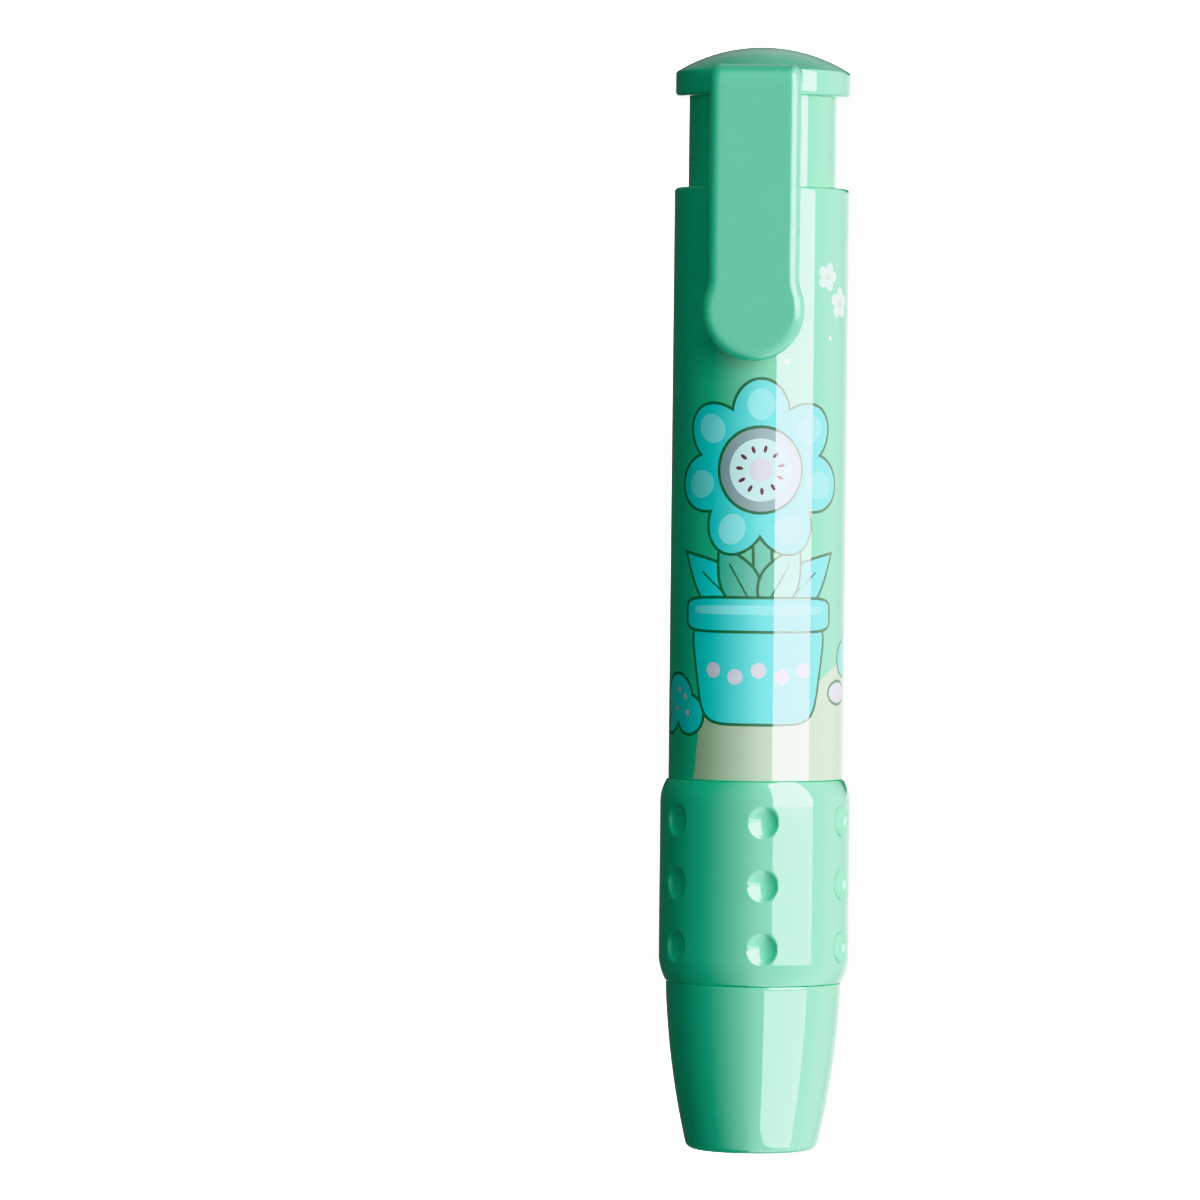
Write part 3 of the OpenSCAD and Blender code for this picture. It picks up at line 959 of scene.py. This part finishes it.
def buildKey():
    # the key in the barrel's neck, which the stem's keyway runs on
    b = barrel
    top = span("barrel")[1].z
    low = (-b["keyWidth"] / 2, -b["boreRadius"] + 0.1, top - b["neckLength"])
    high = (b["keyWidth"] / 2, -b["keyInner"], top - 1)
    return finishMesh(block("barrelKey", low, high, mintGloss, b["keyBevel"]))


ready(buildKey(), "shell", "mint_shell")


# Push cap: the domed head and the plug that holds it in the stem

cap = {
    "domeRadius": 17.8,
    "rimRound": 0.5,
    "footRound": 0.55,
    "plugRadius": 6.83,
    "plugWall": 1.2,
    "plugChamfer": 0.3,
    "crown": 2.4,  # thickness of the dome's wall on the axis
}


def buildCap():
    c = cap
    low, high = span("push_cap")
    stemTop = span("knock_tube")[1].z
    radius = high.x
    centre = (0.0, high.z - c["domeRadius"])
    rimR = radius - c["rimRound"]
    rimZ = centre[1] + sqrt((c["domeRadius"] - c["rimRound"]) ** 2 - rimR ** 2)
    rimAngle = angleOf(centre, (rimR, rimZ))
    foot = c["footRound"]
    profile = arc((radius - foot, stemTop + foot), foot, -90, 0, 8)
    profile += arc((rimR, rimZ), c["rimRound"], 0, rimAngle, 8)
    profile += arc(centre, c["domeRadius"], rimAngle, 90, 36)[1:]
    profile[-1] = (0.0, high.z)
    plug, chamfer = c["plugRadius"], c["plugChamfer"]
    profile += [(0.0, high.z - c["crown"]), (plug - c["plugWall"], high.z - c["crown"]),
                (plug - c["plugWall"], low.z), (plug - chamfer, low.z),
                (plug, low.z + chamfer), (plug, stemTop)]
    return finishMesh(lathe("domeCap", profile, mintGloss), 30.0)


ready(buildCap(), "knock", "mint_shell", "push_cap")


# Clip: a plate that runs out of the cap, bends down and ends in a round

clip = {
    "width": 9.8,
    "thickness": 1.9,
    "gap": 1.7,
    "bend": 1.25,
    "tongueDrop": 3.25,
    "tongueInner": 6.3,
    "endRadius": 5.5,
    "reach": 28.7,
    "neckCurve": 4.0,
    "frontRound": 1.2,
    "backRound": 0.3,
    "nubRadius": 1.5,
    "nubSink": 0.25,
    "webInset": 0.6,
    "webFillet": 1.5,
}


def clipPlaces():
    # where the strap, its bend and its round end lie: s runs along the plate from the tongue's inner end
    c = clip
    capTop = span("push_cap")[1].z
    strapY = span("barrel")[1].x + c["gap"] + c["thickness"] / 2
    bendS = strapY - c["bend"] - c["tongueInner"]
    tongueZ = capTop - c["tongueDrop"]
    return {
        "strapY": strapY,
        "tongueZ": tongueZ,
        "bendY": strapY - c["bend"],
        "bendZ": tongueZ - c["bend"],
        "endZ": capTop - c["reach"],
        "bendS": bendS,
        "strapS": bendS + c["bend"] * pi / 2,
    }


def clipOutline(at):
    # right half of the plate's outline: across, along, and the outward normal
    c = clip
    bendS, strapS = at["bendS"], at["strapS"]
    endS = strapS + at["bendZ"] - at["endZ"]
    half, neck, end = c["width"] / 2, c["neckCurve"], c["endRadius"]
    drop = sqrt((end + neck) ** 2 - (half + neck) ** 2)
    turn = asin(drop / (end + neck))
    points = [(half, 0.0, 1.0, 0.0)]
    points += [(half, bendS + (strapS - bendS) * i / 16, 1.0, 0.0) for i in range(17)]
    points += [(half, strapS + (endS - drop - strapS) * i / 12, 1.0, 0.0) for i in range(1, 12)]
    for i in range(13):
        a = pi - turn * i / 12
        points.append((half + neck + neck * cos(a), endS - drop + neck * sin(a),
                       -cos(a), -sin(a)))
    for i in range(1, 41):
        a = -turn + (pi / 2 + turn) * i / 40
        points.append((end * cos(a), endS + end * sin(a), cos(a), sin(a)))
    return points


def clipEdge():
    # the plate's edge from back to front: inset, depth, and the shares of its normal aside and outwards
    half, back, front = clip["thickness"] / 2, clip["backRound"], clip["frontRound"]
    edge = []
    for i in range(5):
        a = radians(90 * i / 4)
        edge.append((back * (1 - sin(a)), -half + back * (1 - cos(a)), sin(a), -cos(a)))
    for i in range(11):
        a = radians(90 * i / 10)
        edge.append((front * (1 - cos(a)), half - front * (1 - sin(a)), cos(a), sin(a)))
    return edge


def onClip(at, x, s, out):
    # a point of the bent plate, the way that s runs there, and the way out of its front
    if s < at["bendS"]:
        return (x, -clip["tongueInner"] - s, at["tongueZ"] + out), (0, -1, 0), (0, 0, 1)
    if s < at["strapS"]:
        a = (s - at["bendS"]) / clip["bend"]
        way, up = (0, -cos(a), -sin(a)), (0, -sin(a), cos(a))
        reach = clip["bend"] + out
        return (x, -at["bendY"] + up[1] * reach, at["bendZ"] + up[2] * reach), way, up
    return (x, -at["strapY"] - out, at["bendZ"] - (s - at["strapS"])), (0, 0, -1), (0, -1, 0)


def buildClip():
    at, edge = clipPlaces(), clipEdge()
    right = clipOutline(at)
    outline = right + [(-x, s, -nx, ns) for x, s, nx, ns in reversed(right[:-1])]
    points, normals = [], []
    for x, s, nx, ns in outline:
        for inset, out, sideways, outwards in edge:
            place, way, up = onClip(at, x - inset * nx, max(0.0, s - inset * ns), out)
            points.append([v * mm for v in place])
            aside = Vector((nx, 0, 0)) + ns * Vector(way)
            normals.append((sideways * aside + outwards * Vector(up)).normalized())
    count, across = len(outline), len(edge)
    faces = []
    for i in range(count - 1):
        for j in range(across - 1):
            a = i * across + j
            faces.append((a, a + across, a + across + 1, a + 1))
    for j in (0, across - 1):
        # the back and the front, from the left edge straight across to the right
        for i in range(len(right) - 1):
            a, b = i * across + j, (i + 1) * across + j
            d, e = (count - 1 - i) * across + j, (count - 2 - i) * across + j
            faces.append((a, b, e, d) if b != e else (a, b, d))
    tongueEnd = list(range(across)) + [(count - 1) * across + j for j in reversed(range(across))]
    plate = newPiece("clipStrap", points, faces + [tongueEnd], [mintSatin])
    faceOutwards(plate.data)
    for polygon in plate.data.polygons[:-1]:
        polygon.use_smooth = True
    plate.data.normals_split_custom_set_from_vertices(normals)
    return plate


ready(buildClip(), "knock", "mint_clip", "clip")


def buildWeb():
    # fills the angle between the strap and the cap's rim
    c, at = clip, clipPlaces()
    rimY = -span("barrel")[1].x - 0.04
    back = -at["strapY"] + c["thickness"] / 2 - 0.05
    low = span("knock_tube")[1].z + 0.2
    high = at["tongueZ"] - c["thickness"] / 2 + 0.05
    half, fillet = c["width"] / 2 - c["webInset"], c["webFillet"]
    side = arc((back + fillet, low - fillet), fillet, 180, 90, 10)
    side += [(rimY, low), (rimY, high), (back, high)]
    points = [(x * mm, y * mm, z * mm) for x in (-half, half) for y, z in side]
    count = len(side)
    faces = [list(range(count)), list(range(2 * count - 1, count - 1, -1))]
    faces += [(i, (i + 1) % count, (i + 1) % count + count, i + count) for i in range(count)]
    return finishMesh(newPiece("clipWeb", points, faces, [mintSatin]))


def buildNub():
    # the half ball behind the strap's end that bears on a pocket
    c, at = clip, clipPlaces()
    base = at["strapY"] - c["thickness"] / 2 + c["nubSink"]
    profile = arc((0.0, 0.0), c["nubRadius"], 0, 90, 20)
    profile[-1] = (0.0, c["nubRadius"])
    nub = lathe("clipNub", profile + [(0.0, 0.0)], mintSatin, 48)
    for vertex in nub.data.vertices:
        x, y, z = vertex.co
        vertex.co = (x, z - base * mm, y + at["endZ"] * mm)
    return finishMesh(nub)


ready(buildWeb(), "knock", "mint_clip")
ready(buildNub(), "knock", "mint_clip")


# Eraser stick, drawn back behind the mouth

eraser = {"edgeRound": 0.35, "endSag": 0.12}


def buildEraser():
    low, high = span("eraser_core")
    radius, edge = high.x, eraser["edgeRound"]
    hollow = ((0.0, 1.0), (0.45, 0.7), (0.8, 0.1))  # shares of the radius and of the sag
    profile = [(radius * out, low.z + eraser["endSag"] * rise) for out, rise in hollow]
    profile += arc((radius - edge, low.z + edge), edge, -90, 0, 8)
    profile += climb(radius, low.z + edge, high.z - edge, 60)[1:]
    profile += arc((radius - edge, high.z - edge), edge, 0, 90, 8)[1:] + [(0.0, high.z)]
    return finishMesh(lathe("eraserStick", profile, vinyl, 160))


ready(buildEraser(), "stick", "eraser", "eraser_core")


# Return spring: one wire whose end turns lie closed

spring = {"turns": 9, "wire": 0.8, "meanRadius": 7.3, "endRise": 0.84, "pointsPerTurn": 48}


def springTree(sizes):
    tree, given = newTree("windSpring", sizes)
    sums = partial(addMath, tree)
    line = addNode(tree, "GeometryNodeCurvePrimitiveLine").outputs[0]
    line = addNode(tree, "GeometryNodeResampleCurve", {"Curve": line, "Count": given["Points"]}).outputs[0]
    factor = addNode(tree, "GeometryNodeSplineParameter").outputs["Factor"]
    turn = sums("MULTIPLY", factor, given["Turns"])
    lastTurn = sums("SUBTRACT", given["Turns"], 1.0)
    first = mapRange(tree, turn, 0.0, 1.0, 0.0, given["End Rise"])
    middle = mapRange(tree, turn, 1.0, lastTurn, 0.0, given["Open Rise"])
    last = mapRange(tree, turn, lastTurn, given["Turns"], 0.0, given["End Rise"])
    rise = sums("ADD", sums("ADD", first, middle), last)
    angle = sums("MULTIPLY", turn, 2 * pi)
    wound = onCircle(tree, given["Mean Radius"], angle, sums("ADD", rise, given["Bottom"]))
    inputs = {"Resolution": 12, "Radius": sums("MULTIPLY", given["Wire"], 0.5)}
    circle = addNode(tree, "GeometryNodeCurvePrimitiveCircle", inputs).outputs[0]
    inputs = {"Curve": moved(tree, line, wound), "Profile Curve": circle, "Fill Caps": True}
    endTree(tree, addNode(tree, "GeometryNodeCurveToMesh", inputs).outputs[0], given["Material"])
    return tree


def buildSpring():
    s = spring
    low, high = span("return_spring")
    openRise = high.z - low.z - s["wire"] - 2 * s["endRise"]
    wire = newPiece("springWire", [(0, 0, 0)], [], [steel])
    sizes = {
        "Turns": s["turns"],
        "Points": s["turns"] * s["pointsPerTurn"] + 1,
        "Mean Radius": s["meanRadius"] * mm,
        "Wire": s["wire"] * mm,
        "End Rise": s["endRise"] * mm,
        "Open Rise": openRise * mm,
        "Bottom": (low.z + s["wire"] / 2) * mm,
    }
    finishMesh(runTree(wire, springTree(sizes), sizes, steel))
    ready(wire, "shell", "steel", "return_spring")
    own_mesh(wire)


buildSpring()


# Inner CAD pieces keep their shapes and get finishes

finishes = {
    "mouth_seal": elastomer,
    "coupler": naturalWhite,
    "collet": naturalWhite,
    "feed_tube": naturalWhite,
    "clutch_ring": steel,
}
for node, material in finishes.items():
    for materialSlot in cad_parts[node].material_slots:
        materialSlot.material = material
print("inner pieces finished:", ", ".join(finishes))


# Studio: a pale floor below the stick's furthest reach, white air, and soft boxes

studio = {
    "floorDrop": 0.068,
    "floorSize": 6.0,
    "floorDimming": 0.6,
    "airBrightness": 4.0,
    "ambient": 0.07,
    "haze": {  # brightness by turn from the camera
        -180: 2.4, -160: 0.15, -75: 0.0, -64: 0.1, -52: 0.9, -40: 1.6, -30: 2.4, -20: 3.1, -10: 4.1, 0: 5.4,
        10: 6.3, 20: 6.9, 60: 8.2, 80: 8.8, 100: 8.0, 110: 6.8, 120: 5.3, 130: 3.6, 140: 2.6, 160: 2.0,
        180: 2.4,
    },
    "overhead": (0.05, 0.65, 0.26),  # low at the back, high up, and the share of the haze added in front
    "overheadFrom": 6,  # where it starts to grow, in degrees above level
    "hazeEndsFront": (68, 88),
    "hazeEndsBack": (3, 6),
    "backStarts": (138, 152),
    "backLean": (-0.28, -0.02, -0.5, 0.5),  # from this far left to this far right, share off or on
    "middle": 0.06,  # height that the fills look at
    "softboxTurn": 47.5,
    "softboxDistance": 0.9,
    "softboxes": {  # from and to this turn, lowest and highest height, brightness
        "noseSoftbox": (15, 75, -0.58, -0.05, 9.5),
        "gripSoftbox": (22, 74, -0.24, -0.006, 9.4),
        "tallSoftbox": (22, 74, -0.006, 1.5, 21.0),
    },
    "fills": {  # turn, distance, width, height, centre height, light on a face that looks at it
        "keyFill": (35, 1.1, 0.24, 0.8, 0.24, 0.84),
        "frontFill": (-5, 1.1, 0.3, 0.8, 0.2, 0.12),
        "leftFill": (-65, 1.1, 0.3, 0.8, 0.3, 0.13),
        "clipFill": (-75, 1.1, 0.3, 0.8, 0.3, 0.13),
        "rimFill": (140, 1.1, 0.3, 0.8, 0.3, 0.153),
        "backFill": (180, 1.1, 0.4, 0.8, 0.3, 0.573),
        "skyFill": (10, 0.5, 0.5, 0.5, 1.0, 0.2),
        "floorBounce": (80, 0.3, 0.5, 0.5, -1.0, 0.4),
    },
    "litPieces": {"noseSoftbox": "noseShell", "gripSoftbox": "gripSleeve", "clipFill": "clipStrap"},
    "tints": {
        "noseSoftbox": (1.0, 0.83, 0.96),
        "gripSoftbox": (1.0, 0.83, 0.96),
        "tallSoftbox": (1.0, 0.9, 0.98),
        "leftFill": (0.45, 1.0, 0.55),
        "clipFill": (0.45, 1.0, 0.6),
        "frontFill": (0.8, 0.95, 1.4),
    },
}


def towards(turn):
    # level direction out from the holder, turned from the camera's own towards the right of the picture
    a = radians(cameraSpot["turn"] + turn)
    return Vector((sin(a), -cos(a), 0))


def areaLight(name, place, facing, width, height, radiance):
    data = bpy.data.lights.new(name, "AREA")
    data.shape = "RECTANGLE"
    data.size, data.size_y = width, height
    data.energy = radiance * pi * width * height
    data.color = studio["tints"].get(name, (1.0, 1.0, 1.0))
    light = addObject(name, data)
    light.location = place
    light.rotation_mode = "QUATERNION"
    light.rotation_quaternion = facing.to_track_quat("Z", "Y")
    light.visible_camera = False
    return light


def buildFloor():
    size = studio["floorSize"] / 2
    z = -studio["floorDrop"]
    floor = newPiece("paleFloor", [(-size, -size, z), (size, -size, z), (size, size, z), (-size, size, z)],
                     [(0, 1, 2, 3)], [])
    material, tree, shader = newMaterial("floorPaper")
    fill(tree, shader, {
        "Base Color": mixColour(tree, noise(tree, 3.0), (0.86, 0.86, 0.86, 1), (0.9, 0.9, 0.9, 1)),
        "Roughness": 0.9,
        "Emission Color": (1, 1, 1, 1),
        "Emission Strength": studio["airBrightness"] - studio["floorDimming"],
    })
    floor.data.materials.append(material)
    floor.visible_diffuse = False
    floor.visible_glossy = False
    floor.visible_shadow = False


def buildWorld():
    # white to the eye; what the plastic mirrors is a haze that is bright at the right and dark at the left
    world = bpy.data.worlds.new("studioAir")
    bpy.context.scene.world = world
    world.use_nodes = True
    tree = world.node_tree
    sums = partial(addMath, tree)
    rays = addNode(tree, "ShaderNodeLightPath")
    x, y, z = splitUp(tree, addNode(tree, "ShaderNodeTexCoord").outputs["Generated"])
    turn = sums("ARCTAN2", x, sums("MULTIPLY", y, -1.0))
    turn = sums("SUBTRACT", turn, radians(cameraSpot["turn"]))
    turn = sums("WRAP", turn, pi, -pi)
    ramp = addNode(tree, "ShaderNodeValToRGB", {0: mapRange(tree, turn, -pi, pi, 0.0, 1.0)})
    brightest = max(studio["haze"].values())
    stops = ramp.color_ramp.elements
    for angle, value in studio["haze"].items():
        place = (angle + 180) / 360
        stop = stops[-1] if place == 1 else stops.new(place) if place else stops[0]
        stop.color = (value / brightest,) * 3 + (1,)
    level = sums("MULTIPLY", ramp.outputs[0], brightest)
    # it stays bright high up in front, and ends low down at the back, where only the dome would mirror it
    up = [mapRange(tree, z, *(sin(radians(rise)) for rise in studio[ends]), 0.0, 1.0)
          for ends in ("hazeEndsFront", "hazeEndsBack")]
    starts = (radians(edge) for edge in studio["backStarts"])
    back = mapRange(tree, sums("ABSOLUTE", turn), *starts, 0.0, 1.0)
    up = sums("MULTIPLY_ADD", back, sums("SUBTRACT", up[1], up[0]), up[0])
    low, high, share = studio["overhead"]
    above = mapRange(tree, z, sin(radians(studio["overheadFrom"])), 0.5, low, high)
    inFront = sums("MULTIPLY", level, sums("SUBTRACT", 1.0, back))
    above = sums("MULTIPLY_ADD", inFront, share, above)
    # at the back it brightens from the left of the dome to the right
    lean = mapRange(tree, x, *studio["backLean"])
    above = sums("MULTIPLY_ADD", sums("MULTIPLY", above, back), lean, above)
    fade = sums("MULTIPLY", sums("SUBTRACT", above, level), up)
    haze = sums("ADD", level, fade)
    light = sums("MULTIPLY", rays.outputs["Is Glossy Ray"], haze)
    light = sums("MAXIMUM", light, studio["ambient"])
    seen = sums("MULTIPLY", rays.outputs["Is Camera Ray"], studio["airBrightness"])
    light = sums("MAXIMUM", light, seen)
    fill(tree, tree.nodes["Background"], {"Strength": light, "Color": (1, 1, 1, 1)})


def buildLights():
    # the soft boxes make the highlight band and nothing else, the fills make the shading and nothing else
    distance, turn = studio["softboxDistance"], studio["softboxTurn"]
    facing = towards(turn)
    aside = Vector((-facing.y, facing.x, 0))
    for name, (left, right, low, high, radiance) in studio["softboxes"].items():
        start, end = (distance * tan(radians(edge - turn)) for edge in (left, right))
        place = facing * distance + aside * (start + end) / 2 + Vector((0, 0, (low + high) / 2))
        light = areaLight(name, place, facing, end - start, high - low, radiance)
        light.visible_diffuse = False
    for name, (turn, distance, width, height, z, level) in studio["fills"].items():
        place = towards(turn) * distance + Vector((0, 0, z))
        facing = place - Vector((0, 0, studio["middle"]))
        radiance = level * pi * facing.length_squared / (width * height)
        light = areaLight(name, place, facing, width, height, radiance)
        light.visible_glossy = False
    for name, piece in studio["litPieces"].items():
        only = bpy.data.collections.new(name)
        only.objects.link(bpy.data.objects[piece])
        bpy.data.objects[name].light_linking.receiver_collection = only


buildFloor()
buildWorld()
buildLights()
bpy.context.scene.view_settings.view_transform = "Khronos PBR Neutral"
print("studio ready")
